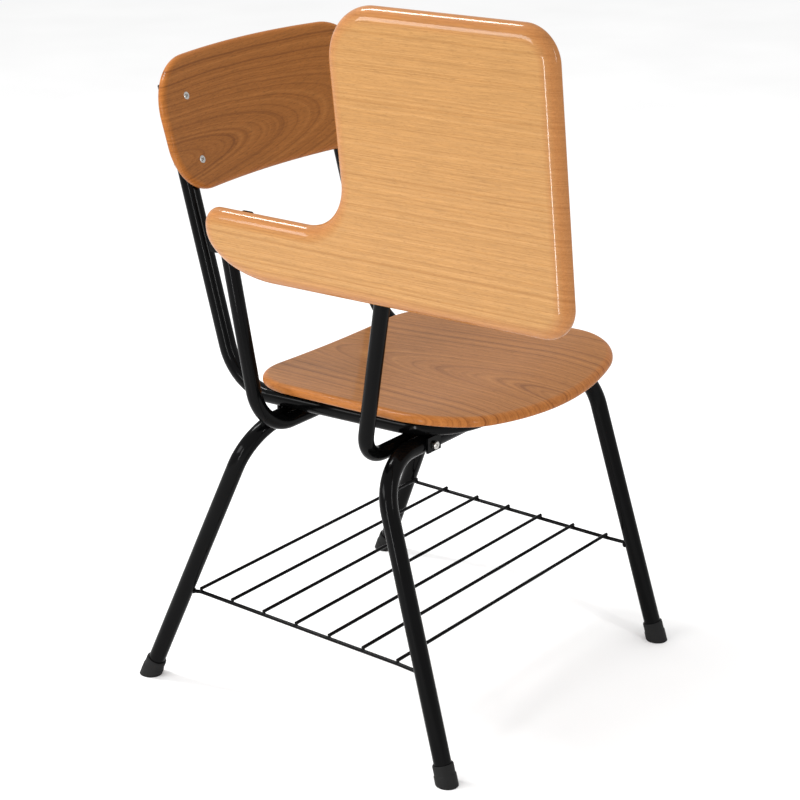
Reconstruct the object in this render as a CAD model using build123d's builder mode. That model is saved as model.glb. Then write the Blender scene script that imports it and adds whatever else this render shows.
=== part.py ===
from build123d import *
from math import atan, cos, degrees, hypot, radians, sin, tan
import os

# Student desk chair with a flip-up writing tablet. Millimetres, +Z up.
# While it is modelled the chair faces -Y and X = 0 is its middle plane; the sitter's right is -X.
# When the pieces are written, the whole chair is shifted in plan to stand centred on its origin.

# ---------------------------------------------------------------- tubes and legs
TUBE_R = 11.0                 # legs, seat frame and uprights: 22 mm outside
ARM_R = 9.5                   # the tablet arms: 19 mm outside
TUBE_WALL = 1.5
FRONT_FOOT_OUT = 91.8         # where the leg axes meet the floor, outboard of the side runs
FRONT_FOOT_Y = -238.5
REAR_FOOT_OUT = 101.8
REAR_FOOT_Y = 238.5
FRONT_LEG_IN = 0.043          # sideways travel per unit of height, towards the middle
FRONT_LEG_BACK = 0.299        # rearward travel of the front legs per unit of height
REAR_LEG_IN = 0.096
REAR_LEG_FORWARD = 0.42
FRONT_BAR_Z = 379.0           # axis height of the bar under the seat
REAR_BAR_Z = 369.5
LEG_BEND_R = 62.0
LEG_SAMPLE = 100.0            # a height used to find the direction of a leg

# ---------------------------------------------------------------- rubber feet
FOOT_SOLE = 8.0               # rubber under the end of the tube, along the leg
FOOT_HEIGHT = 26.0
FOOT_R = 13.2
FOOT_LIP_R = 14.0
FOOT_LIP_H = 5.0

# ---------------------------------------------------------------- seat and back frame
FRAME_X = 148.0               # side runs and uprights, from the middle plane
FRAME_FRONT_Y = -167.0        # front cross run
FRAME_FRONT_R = 75.0
FRAME_REAR_R = 70.0
UPRIGHT_CORNER_Y = 163.0      # where the lines of side run and upright cross
UPRIGHT_LEAN = 15.55          # degrees from vertical
UPRIGHT_LENGTH = 388.0        # from that crossing to the open top end

# ---------------------------------------------------------------- seat panel
SEAT_THICK = 12.0
SEAT_GAP = 6.0                # between the tubes' top and the middle of the seat
SEAT_DISH_R = 3300.0          # the seat is a little hollow from side to side
SEAT_REAR_HALF = 187.0
SEAT_FRONT_HALF = 197.0
SEAT_REAR_Y = 126.0
SEAT_FRONT_Y = -240.0
SEAT_FRONT_BOW = 50.0
SEAT_REAR_CORNER = 78.0
SEAT_FRONT_CORNER = 100.0
SEAT_ROLL_START = -140.0      # the waterfall front begins here
SEAT_ROLL_DROP = 9.0
PLATE_LONG = 34.0
PLATE_REACH = 40.0
PLATE_CORNER = 4.0
PLATE_YS = (-90.0, 60.0)
SEAT_SCREW_R = 2.5
SEAT_SCREW_DEPTH = 8.0        # into the wood
SEAT_SCREW_INSET = 26.0       # inboard of the side run
SCREW_HEAD_R = 5.5
SCREW_HEAD_H = 3.5
SCREW_HEAD_TAPER = 12.0       # degrees

# ---------------------------------------------------------------- backrest
BACK_HALF = 198.5
BACK_LOW = -70.0              # outline heights along the panel, from its reference point
BACK_HIGH = 96.5
BACK_TOP_CROWN = 10.0
BACK_LOW_CROWN = 7.0
BACK_TOP_CORNER = 72.0
BACK_LOW_CORNER = 62.0
BACK_THICK = 12.0
BACK_CURVE_R = 1200.0
BACK_Y = 233.5
BACK_Z = 700.0
BACK_LEAN = 17.0
BACK_SLAB = 60.0              # depth of material the curved panel is cut from
BACK_SCREW_HEIGHTS = (-28.5, 51.5)
BACK_SCREW_R = 2.5
SPACER_R = 7.0

BACK_HEAD_R = 4.6
BACK_HEAD_DEEP = 2.6
BACK_NUT_R = 4.0
BACK_NUT_H = 4.0
BACK_NUT_SEAT = 0.15          # the uprights lean a little less than the panel
PLUG_HEAD = 3.0
PLUG_NECK = 10.0

# ---------------------------------------------------------------- gussets on the leg frames' bars
GUSSET_IN = 13.0              # middle of each gusset, inboard of the side run
GUSSET_HALF = 13.0
GUSSET_THICK = 3.0
GUSSET_DROP = 8.0             # below the bar's axis
GUSSET_SCREW_R = 3.0
GUSSET_SCREW_DEPTH = 9.0
GUSSET_HEAD_R = 5.0
GUSSET_HEAD_H = 3.2

# ---------------------------------------------------------------- book rack
SIDE_WIRE_R = 2.5
CROSS_WIRE_R = 2.25
RACK_Z = 131.6
RACK_REAR_OUT = 80.4          # side wires, outboard of the side runs
RACK_FRONT_OUT = 83.4
RACK_REAR_Y = 162.6
RACK_PITCH = 53.4
RACK_WIRES = 7
RACK_OVERHANG = 0.5
RACK_BEND_R = 10.0

# ---------------------------------------------------------------- hinge line and tablet arms
HINGE_OUT = 100.97            # a point on the hinge axis, outboard of the side run
HINGE_Y = -99.85
HINGE_Z = 617.75
HINGE_TOE = 1.9               # degrees, the axis runs outward towards the front
HINGE_PITCH = 2.5             # degrees, the axis rises towards the front
RAISE_ANGLE = 94.7            # board angle from lowered to raised
FRONT_PIVOT = 56.0            # places of the two pivots along the axis
REAR_PIVOT = -187.0
FRONT_ARM_OUT = 81.0          # lower corner of each arm, outboard of the side run
REAR_ARM_OUT = 70.5
ARM_INNER_IN = 38.0           # inner end of each arm, inboard of the side run
FRONT_ARM_BEND_R = 42.0
REAR_ARM_BEND_R = 62.0
ARM_TOP = 1.5                 # tube end above the pivot
DOME_NECK = 14.0
BOLT_R = 4.0
BOLT_HEAD_R = 7.0
BOLT_HEAD_H = 4.5
NUT_FLATS_R = 6.5
NUT_H = 6.0
PIVOT_CLEAR = 0.05
FRONT_EAR_GAP = 3.6           # nylon spacer between tube and ear
REAR_EAR_GAP = 1.6
EAR_THICK = 3.0
EAR_R = 9.5
LEAF_THICK = 3.0
LEAF_LIFT = 3.5               # from the arm's tube to the leaf's near face
LEAF_TAIL = 3.0
LEAF_FOOT = 34.0
LEAF_HALF = 9.0
LEAF_CORNER = 3.0
SIDE_CLEAR = 0.3              # between parts that turn past each other
LEAF_HEAD_R = 4.0
LEAF_HEAD_H = 2.2
PAD_R = 6.0
PAD_H = 2.0
PAD_REACH = 28.0
SHELF_REACH = 38.0
SHELF_THICK = 2.6
WEB_HALF = 2.5
STOP_GAP = 0.4                # pad to leaf when the tablet is down
WEB_DEEP = 34.0
WEB_INSET = 4.0

# ---------------------------------------------------------------- writing tablet
TABLET_THICK = 18.0
TABLET_LOW = -24.0                  # outer long edge, measured across the board from the pivot axis
TABLET_HIGH = 309.0
TABLET_FRONT = 329.0
TABLET_WIDE_REAR = 27.0       # rear edge of the wide part
TABLET_ARM_EDGE = 55.0        # inner edge of the arm part
TABLET_TIP = -192.7
TABLET_TIP_RISE = 3.5          # the arm part widens a little towards its tip
TABLET_FRONT_CORNER = 40.0
TABLET_REAR_CORNER = 66.0
TABLET_INNER_R = 60.0
TABLET_TIP_R = 24.0
TABLET_TAIL_X_R = 100.7
TABLET_TAIL_Y_R = 54.0
TABLET_EDGE_R = 7.0
REAR_LEAF_STRAP = -133.0      # place of the rear leaf's strap along the axis
REAR_LEAF_LENGTH = 56.0
FRONT_LEAF_LENGTH = 193.0
FRONT_SCREW_HEIGHTS = (40.0, 110.0, 178.0)
REAR_SCREW_HEIGHTS = (14.0, 44.0)
REAR_SCREW_SHIFT = 16.0
LEAF_SCREW_R = 2.0
LEAF_SCREW_DEPTH = 11.0

# ---------------------------------------------------------------- derived geometry
FRAME_SLOPE_RUN = (
    (FRONT_FOOT_Y + FRONT_LEG_BACK * FRONT_BAR_Z) - (REAR_FOOT_Y - REAR_LEG_FORWARD * REAR_BAR_Z)
)
FRAME_SLOPE = (FRONT_BAR_Z - REAR_BAR_Z) / FRAME_SLOPE_RUN      # rise per unit of +Y (negative)
FRAME_TILT = degrees(atan(FRAME_SLOPE))
FRONT_FOOT_X = FRAME_X + FRONT_FOOT_OUT
REAR_FOOT_X = FRAME_X + REAR_FOOT_OUT
RACK_REAR_X = FRAME_X + RACK_REAR_OUT
RACK_FRONT_X = FRAME_X + RACK_FRONT_OUT
GUSSET_X = FRAME_X - GUSSET_IN
HINGE_AT = (-FRAME_X - HINGE_OUT, HINGE_Y, HINGE_Z)
FRONT_ARM_X = -FRAME_X - FRONT_ARM_OUT
REAR_ARM_X = -FRAME_X - REAR_ARM_OUT
ARM_INNER_X = -FRAME_X + ARM_INNER_IN
LEAF_OFFSET = ARM_R + LEAF_LIFT   # pivot axis to the leaf's near face
FRONT_BAR_Y = FRONT_FOOT_Y + FRONT_LEG_BACK * FRONT_BAR_Z
REAR_BAR_Y = REAR_FOOT_Y - REAR_LEG_FORWARD * REAR_BAR_Z
ARM_APART = TUBE_R + ARM_R        # between axes where an arm lies against a frame tube
TUBES_APART = 2 * TUBE_R / cos(radians(FRAME_TILT))             # vertical, where runs rest on bars


def run_z(y):
    """Axis height of the seat frame's side runs at a given y."""
    return FRONT_BAR_Z + TUBES_APART + FRAME_SLOPE * (y - FRONT_BAR_Y)


frame_top = Plane(                # touches the side runs along their tops
    origin=(0, 0, run_z(0) + TUBE_R / cos(radians(FRAME_TILT))),
    x_dir=(1, 0, 0),
    z_dir=(0, -sin(radians(FRAME_TILT)), cos(radians(FRAME_TILT))),
)
back_plane = Plane(
    origin=(0, BACK_Y, BACK_Z),
    x_dir=(1, 0, 0),
    z_dir=(0, -cos(radians(BACK_LEAN)), sin(radians(BACK_LEAN))),
)
hinge_forward = Vector(
    -sin(radians(HINGE_TOE)), -cos(radians(HINGE_TOE)), tan(radians(HINGE_PITCH))
).normalized()
hinge_inboard = Vector(0, 0, 1).cross(hinge_forward).normalized()
# Local x runs along the axis to the front, y across the board away from the axis, z out of its face.
hinge_up = hinge_forward.cross(hinge_inboard)
lowered_plane = Plane(origin=HINGE_AT, x_dir=hinge_forward, z_dir=hinge_up)
raised_plane = Plane(
    origin=HINGE_AT,
    x_dir=hinge_forward,
    z_dir=hinge_up * cos(radians(RAISE_ANGLE)) - hinge_inboard * sin(radians(RAISE_ANGLE)),
)


def at(plane, x, y, z=0.0):
    """A point given in a plane's own coordinates."""
    return plane.from_local_coords(Vector(x, y, z))


def mirrored(point):
    """The same point on the other side of the middle plane."""
    return Vector(-point.X, point.Y, point.Z)


made = []


def keep(builder, name):
    """Label a finished piece and put it on the list to be written."""
    builder.part.label = name
    made.append(builder.part)


def bent_tube(points, radii, tube_r=TUBE_R):
    """A hollow tube along straight runs joined by tangent arcs."""
    with BuildPart() as tube:
        with BuildLine():
            path = FilletPolyline(*points, radius=radii)
        with BuildSketch(Plane(origin=path @ 0, z_dir=path % 0)):
            Circle(tube_r)
            Circle(tube_r - TUBE_WALL, mode=Mode.SUBTRACT)
        sweep(path=path)
    return tube


# ================================================================ leg frames
def front_leg_point(side, z):
    """A point on a front leg's axis; side is -1 for the sitter's right."""
    return Vector(side * (FRONT_FOOT_X - FRONT_LEG_IN * z), FRONT_FOOT_Y + FRONT_LEG_BACK * z, z)


def rear_leg_point(side, z):
    """A point on a rear leg's axis."""
    return Vector(side * (REAR_FOOT_X - REAR_LEG_IN * z), REAR_FOOT_Y - REAR_LEG_FORWARD * z, z)


def leg_frame(leg_point, bar_z):
    """Two legs and the bar between them, bent from one tube."""
    axis = (leg_point(-1, bar_z) - leg_point(-1, 0)).normalized()
    end = leg_point(-1, 0) + axis * FOOT_SOLE
    corner = leg_point(-1, bar_z)
    points = [end, corner, mirrored(corner), mirrored(end)]
    return bent_tube(points, LEG_BEND_R)


front_leg_frame = leg_frame(front_leg_point, FRONT_BAR_Z)
rear_leg_frame = leg_frame(rear_leg_point, REAR_BAR_Z)


def rubber_foot(leg_point, side, name):
    """A rubber cap pushed over a leg's end, cut flat where it stands on the floor."""
    foot = leg_point(side, 0)
    axis = (leg_point(side, LEG_SAMPLE) - foot).normalized()
    along = Plane(origin=foot, z_dir=axis)
    with BuildPart() as cap:
        with BuildSketch(along.offset(-FOOT_LIP_R)):
            Circle(FOOT_LIP_R)
        extrude(amount=FOOT_LIP_R + FOOT_SOLE + FOOT_LIP_H)
        with BuildSketch(along.offset(FOOT_SOLE)):
            Circle(FOOT_R)
        extrude(amount=FOOT_HEIGHT - FOOT_SOLE)
        with BuildSketch(along.offset(FOOT_SOLE)):
            Circle(TUBE_R)
        extrude(amount=FOOT_HEIGHT, mode=Mode.SUBTRACT)
        split(bisect_by=Plane.XY, keep=Keep.TOP)
    keep(cap, name)


rubber_foot(front_leg_point, -1, "foot_front_right")
rubber_foot(front_leg_point, 1, "foot_front_left")
rubber_foot(rear_leg_point, -1, "foot_rear_right")
rubber_foot(rear_leg_point, 1, "foot_rear_left")


# ================================================================ seat and back frame
upright_dir = Vector(0, sin(radians(UPRIGHT_LEAN)), cos(radians(UPRIGHT_LEAN)))
upright_corner = Vector(-FRAME_X, UPRIGHT_CORNER_Y, run_z(UPRIGHT_CORNER_Y))
upright_top = upright_corner + upright_dir * UPRIGHT_LENGTH
front_corner = Vector(-FRAME_X, FRAME_FRONT_Y, run_z(FRAME_FRONT_Y))
seat_back_frame = bent_tube(
    [
        upright_top,
        upright_corner,
        front_corner,
        mirrored(front_corner),
        mirrored(upright_corner),
        mirrored(upright_top),
    ],
    [FRAME_REAR_R, FRAME_FRONT_R, FRAME_FRONT_R, FRAME_REAR_R],
)


def upright_axis_depth(height):
    """Distance behind the backrest's reference plane to the upright's axis, at a panel height."""
    corner = back_plane.to_local_coords(upright_corner)
    top = back_plane.to_local_coords(upright_top)
    share = (height - corner.Y) / (top.Y - corner.Y)
    return -(corner.Z + share * (top.Z - corner.Z))


def nut_seat(height):
    """Distance behind the reference plane to where a screw's nut sits on the upright."""
    return upright_axis_depth(height) + TUBE_R + BACK_NUT_SEAT


def panel_curve(x):
    """How far the backrest's middle surface stands forward of its reference plane."""
    return BACK_CURVE_R - (BACK_CURVE_R**2 - x**2) ** 0.5


back_screw_spots = [(side * FRAME_X, h) for side in (-1, 1) for h in BACK_SCREW_HEIGHTS]
screw_face = panel_curve(FRAME_X) + BACK_THICK / 2

with BuildPart(mode=Mode.PRIVATE) as back_bores:
    for x, h in back_screw_spots:
        with BuildSketch(back_plane.offset(screw_face)):
            with Locations((x, h)):
                Circle(BACK_SCREW_R)
        extrude(amount=-(screw_face + nut_seat(h) + BACK_NUT_H))

with BuildPart() as frame_drilled:
    add(seat_back_frame.part)
    add(back_bores.part, mode=Mode.SUBTRACT)
keep(frame_drilled, "seat_back_frame")


def end_plug(top, axis, tube_r, name):
    """A plastic plug in a tube's open end, with a low head."""
    with BuildPart() as plug:
        with BuildSketch(Plane(origin=top, z_dir=axis)):
            Circle(tube_r)
        extrude(amount=PLUG_HEAD)
        chamfer(plug.faces().sort_by(Axis((0, 0, 0), tuple(axis)))[-1].edges(), length=PLUG_HEAD / 3)
        with BuildSketch(Plane(origin=top, z_dir=axis)):
            Circle(tube_r - TUBE_WALL)
        extrude(amount=-PLUG_NECK)
    keep(plug, name)


end_plug(upright_top, upright_dir, TUBE_R, "upright_plug_right")
end_plug(mirrored(upright_top), mirrored(upright_dir), TUBE_R, "upright_plug_left")

# ================================================================ leg frames, gussets and screws
gusset_rows = (
    (FRONT_BAR_Y, FRONT_BAR_Z, -1, front_leg_frame, "front"),
    (REAR_BAR_Y, REAR_BAR_Z, 1, rear_leg_frame, "rear"),
)
for bar_y, bar_z, way, frame, end_name in gusset_rows:
    face_y = bar_y + way * TUBE_R
    facing = Plane(origin=(0, face_y, bar_z), x_dir=(-way, 0, 0), z_dir=(0, way, 0))
    top = run_z(face_y + way * GUSSET_THICK) - TUBE_R / cos(radians(FRAME_TILT)) - bar_z
    top = min(top, run_z(face_y) - TUBE_R / cos(radians(FRAME_TILT)) - bar_z)
    spots = [(-GUSSET_X, 0), (GUSSET_X, 0)]
    with BuildPart(mode=Mode.PRIVATE) as screw_bores:
        with BuildSketch(facing.offset(GUSSET_THICK)):
            with Locations(*spots):
                Circle(GUSSET_SCREW_R)
        extrude(amount=-(GUSSET_THICK + GUSSET_SCREW_DEPTH))
    with BuildPart() as screws:
        add(screw_bores.part)
        with BuildSketch(facing.offset(GUSSET_THICK)):
            with Locations(*spots):
                Circle(GUSSET_HEAD_R)
        extrude(amount=GUSSET_HEAD_H)
    with BuildPart() as gussets:
        with BuildSketch(facing):
            with Locations(*[(x, (top - GUSSET_DROP) / 2) for x, _ in spots]):
                Rectangle(2 * GUSSET_HALF, top + GUSSET_DROP)
        extrude(amount=GUSSET_THICK)
        add(screw_bores.part, mode=Mode.SUBTRACT)
    with BuildPart() as drilled:
        add(frame.part)
        add(screw_bores.part, mode=Mode.SUBTRACT)
    keep(drilled, f"{end_name}_leg_frame")
    keep(gussets, f"{end_name}_gussets")
    keep(screws, f"{end_name}_gusset_screws")

# ================================================================ seat panel and its mountings
plate_rows = [(side, y) for side in (-1, 1) for y in PLATE_YS]
seat_screw_spots = [(side * (FRAME_X - SEAT_SCREW_INSET), y) for side, y in plate_rows]
plate_spots = [(side * (FRAME_X - (PLATE_REACH - TUBE_R) / 2), y) for side, y in plate_rows]

with BuildPart(mode=Mode.PRIVATE) as seat_bores:
    with BuildSketch(frame_top):
        with Locations(*seat_screw_spots):
            Circle(SEAT_SCREW_R)
    extrude(amount=SEAT_GAP + SEAT_SCREW_DEPTH)

with BuildPart(mode=Mode.PRIVATE) as seat_blank:
    with BuildLine():
        rear = at(frame_top, 0, SEAT_REAR_Y, SEAT_GAP)
        roll = at(frame_top, 0, SEAT_ROLL_START, SEAT_GAP)
        lip = at(frame_top, 0, SEAT_FRONT_Y, SEAT_GAP - SEAT_ROLL_DROP)
        flat = Line(rear, roll)
        path = flat + TangentArc(roll, lip, tangent=flat % 1)
    with BuildSketch(Plane(origin=rear, x_dir=(1, 0, 0), z_dir=flat % 0)):
        with Locations((0, SEAT_DISH_R + SEAT_THICK)):
            Circle(SEAT_DISH_R + SEAT_THICK)
            Circle(SEAT_DISH_R, mode=Mode.SUBTRACT)
        Rectangle(3 * SEAT_FRONT_HALF, SEAT_FRONT_HALF, mode=Mode.INTERSECT)
    sweep(path=path)
    with BuildSketch(frame_top.offset(-2 * SEAT_ROLL_DROP)) as outline:
        with BuildLine():
            front = ThreePointArc(
                (-SEAT_FRONT_HALF, SEAT_FRONT_Y + SEAT_FRONT_BOW),
                (0, SEAT_FRONT_Y),
                (SEAT_FRONT_HALF, SEAT_FRONT_Y + SEAT_FRONT_BOW),
            )
            Polyline(
                front @ 1,
                (SEAT_REAR_HALF, SEAT_REAR_Y),
                (-SEAT_REAR_HALF, SEAT_REAR_Y),
                front @ 0,
            )
        make_face()
        fillet(outline.vertices().group_by(Axis.Y)[-1], radius=SEAT_REAR_CORNER)
        fillet(outline.vertices().group_by(Axis.Y)[0], radius=SEAT_FRONT_CORNER)
    extrude(amount=6 * SEAT_ROLL_DROP, mode=Mode.INTERSECT)

with BuildPart() as seat_panel:
    add(seat_blank.part)
    add(seat_bores.part, mode=Mode.SUBTRACT)
keep(seat_panel, "seat_panel")

with BuildPart() as mount_plates:
    with BuildSketch(frame_top):
        with Locations(*plate_spots):
            RectangleRounded(PLATE_REACH, PLATE_LONG, PLATE_CORNER)
    extrude(amount=SEAT_GAP + SEAT_THICK / 2)
    add(seat_blank.part, mode=Mode.SUBTRACT)
    add(seat_bores.part, mode=Mode.SUBTRACT)
keep(mount_plates, "seat_mount_plates")

with BuildPart() as seat_screws:
    add(seat_bores.part)
    with BuildSketch(frame_top):
        with Locations(*seat_screw_spots):
            Circle(SCREW_HEAD_R)
    extrude(amount=-SCREW_HEAD_H, taper=SCREW_HEAD_TAPER)
keep(seat_screws, "seat_screws")

# ================================================================ backrest
back_section = Plane(
    origin=at(back_plane, 0, BACK_LOW - 20), x_dir=(1, 0, 0), z_dir=back_plane.y_dir
)
# In this plane local y points behind the panel, so the curve's centre lies at negative y.

with BuildPart(mode=Mode.PRIVATE) as back_heads:
    for x, h in back_screw_spots:
        with BuildSketch(back_plane.offset(screw_face - BACK_HEAD_DEEP)):
            with Locations((x, h)):
                Circle(BACK_SCREW_R)
        with BuildSketch(back_plane.offset(screw_face)):
            with Locations((x, h)):
                Circle(BACK_HEAD_R)
        loft()

with BuildPart() as backrest_panel:
    with BuildSketch(back_section):
        with Locations((0, -BACK_CURVE_R)):
            Circle(BACK_CURVE_R + BACK_THICK / 2)
            Circle(BACK_CURVE_R - BACK_THICK / 2, mode=Mode.SUBTRACT)
        Rectangle(3 * BACK_HALF, 4 * BACK_HALF, mode=Mode.INTERSECT)
    extrude(amount=BACK_HIGH - BACK_LOW + BACK_SLAB)
    with BuildSketch(back_plane.offset(-BACK_SLAB)) as outline:
        with BuildLine():
            crown = ThreePointArc(
                (-BACK_HALF, BACK_HIGH), (0, BACK_HIGH + BACK_TOP_CROWN), (BACK_HALF, BACK_HIGH)
            )
            hollow = ThreePointArc(
                (-BACK_HALF, BACK_LOW), (0, BACK_LOW + BACK_LOW_CROWN), (BACK_HALF, BACK_LOW)
            )
            Line(crown @ 0, hollow @ 0)
            Line(crown @ 1, hollow @ 1)
        make_face()
        fillet(outline.vertices().group_by(Axis.Y)[-1], radius=BACK_TOP_CORNER)
        fillet(outline.vertices().group_by(Axis.Y)[0], radius=BACK_LOW_CORNER)
    extrude(amount=2 * BACK_SLAB, mode=Mode.INTERSECT)
    add(back_bores.part, mode=Mode.SUBTRACT)
    add(back_heads.part, mode=Mode.SUBTRACT)
keep(backrest_panel, "backrest_panel")

with BuildPart() as backrest_screws:
    for x, h in back_screw_spots:
        with BuildSketch(back_plane.offset(screw_face - BACK_HEAD_DEEP)):
            with Locations((x, h)):
                Circle(BACK_SCREW_R)
        extrude(amount=-(screw_face - BACK_HEAD_DEEP + nut_seat(h) + BACK_NUT_H))
    add(back_heads.part)
keep(backrest_screws, "backrest_screws")

with BuildPart() as backrest_spacers:
    for x, h in back_screw_spots:
        with BuildSketch(back_plane.offset(-upright_axis_depth(h))):
            with Locations((x, h)):
                Circle(SPACER_R)
                Circle(BACK_SCREW_R, mode=Mode.SUBTRACT)
        extrude(amount=upright_axis_depth(h) + screw_face - BACK_THICK / 2)
    for side in (-1, 1):
        foot = Vector(side * FRAME_X, upright_corner.Y, upright_corner.Z)
        with BuildSketch(Plane(origin=foot, z_dir=upright_dir)):
            Circle(TUBE_R)
        extrude(amount=UPRIGHT_LENGTH, mode=Mode.SUBTRACT)
    with BuildSketch(back_section):
        with Locations((0, -BACK_CURVE_R)):
            Circle(BACK_CURVE_R + BACK_THICK / 2)
            Circle(BACK_CURVE_R - BACK_THICK / 2, mode=Mode.SUBTRACT)
        Rectangle(3 * BACK_HALF, 4 * BACK_HALF, mode=Mode.INTERSECT)
    extrude(amount=BACK_HIGH - BACK_LOW + BACK_SLAB, mode=Mode.SUBTRACT)
keep(backrest_spacers, "backrest_spacers")

with BuildPart() as backrest_nuts:
    for x, h in back_screw_spots:
        with BuildSketch(back_plane.offset(-nut_seat(h))):
            with Locations((x, h)):
                RegularPolygon(BACK_NUT_R, 6, major_radius=False)
                Circle(BACK_SCREW_R, mode=Mode.SUBTRACT)
        extrude(amount=-BACK_NUT_H)
keep(backrest_nuts, "backrest_nuts")

# ================================================================ book rack
front_join = front_leg_point(1, RACK_Z)
rear_join = rear_leg_point(1, RACK_Z)
rack_last_y = RACK_REAR_Y - (RACK_WIRES - 1) * RACK_PITCH


def rack_x(y):
    """Distance of the rack's side wires from the middle plane."""
    share = (RACK_REAR_Y - y) / (RACK_REAR_Y - rack_last_y)
    return RACK_REAR_X + share * (RACK_FRONT_X - RACK_REAR_X)


for side, side_name in ((-1, "right"), (1, "left")):
    with BuildPart() as side_wire:
        with BuildLine():
            path = FilletPolyline(
                (side * front_join.X, front_join.Y, RACK_Z),
                (side * rack_x(rack_last_y), rack_last_y, RACK_Z),
                (side * rack_x(RACK_REAR_Y), RACK_REAR_Y, RACK_Z),
                (side * rear_join.X, rear_join.Y, RACK_Z),
                radius=RACK_BEND_R,
            )
        with BuildSketch(Plane(origin=path @ 0, z_dir=path % 0)):
            Circle(SIDE_WIRE_R)
        sweep(path=path)
        for leg_point in (front_leg_point, rear_leg_point):
            foot = leg_point(side, 0)
            with BuildSketch(Plane(origin=foot, z_dir=leg_point(side, LEG_SAMPLE) - foot)):
                Circle(TUBE_R)
            extrude(amount=2 * RACK_Z, mode=Mode.SUBTRACT)
    keep(side_wire, f"rack_side_wire_{side_name}")

for number in range(RACK_WIRES):
    y = RACK_REAR_Y - number * RACK_PITCH
    half = rack_x(y) + RACK_OVERHANG
    across = Plane(origin=(-half, y, RACK_Z + SIDE_WIRE_R + CROSS_WIRE_R), z_dir=(1, 0, 0))
    with BuildPart() as cross_wire:
        with BuildSketch(across):
            Circle(CROSS_WIRE_R)
        extrude(amount=2 * half)
    keep(cross_wire, f"rack_cross_wire_{number + 1}")

# ================================================================ tablet arms
pivots = ((FRONT_PIVOT, FRONT_EAR_GAP), (REAR_PIVOT, REAR_EAR_GAP))
front_pivot = at(raised_plane, FRONT_PIVOT, 0)
rear_pivot = at(raised_plane, REAR_PIVOT, 0)
front_arm_z = run_z(FRONT_BAR_Y + ARM_APART) - ARM_APART / cos(radians(FRAME_TILT))
rear_arm_z = run_z(REAR_BAR_Y - ARM_APART) - ARM_APART / cos(radians(FRAME_TILT))
front_arm_y = FRONT_BAR_Y + (ARM_APART**2 - (front_arm_z - FRONT_BAR_Z) ** 2) ** 0.5
rear_arm_y = REAR_BAR_Y - (ARM_APART**2 - (rear_arm_z - REAR_BAR_Z) ** 2) ** 0.5


def across_axis(along):
    """The plane square to the hinge axis, its local x running from the axis across the board."""
    return Plane(
        origin=at(raised_plane, along, 0), x_dir=raised_plane.y_dir, z_dir=raised_plane.x_dir
    )


def head_face(gap):
    """From a pivot's middle to the under side of its bolt head, along the axis."""
    return ARM_R + gap + EAR_THICK + SIDE_CLEAR


pivot_bores = []
for pivot, gap in pivots:
    with BuildPart(mode=Mode.PRIVATE) as bore:
        with BuildSketch(across_axis(pivot - head_face(gap) - NUT_H)):
            Circle(BOLT_R)
        extrude(amount=2 * head_face(gap) + NUT_H)
    pivot_bores.append(bore.part)

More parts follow.
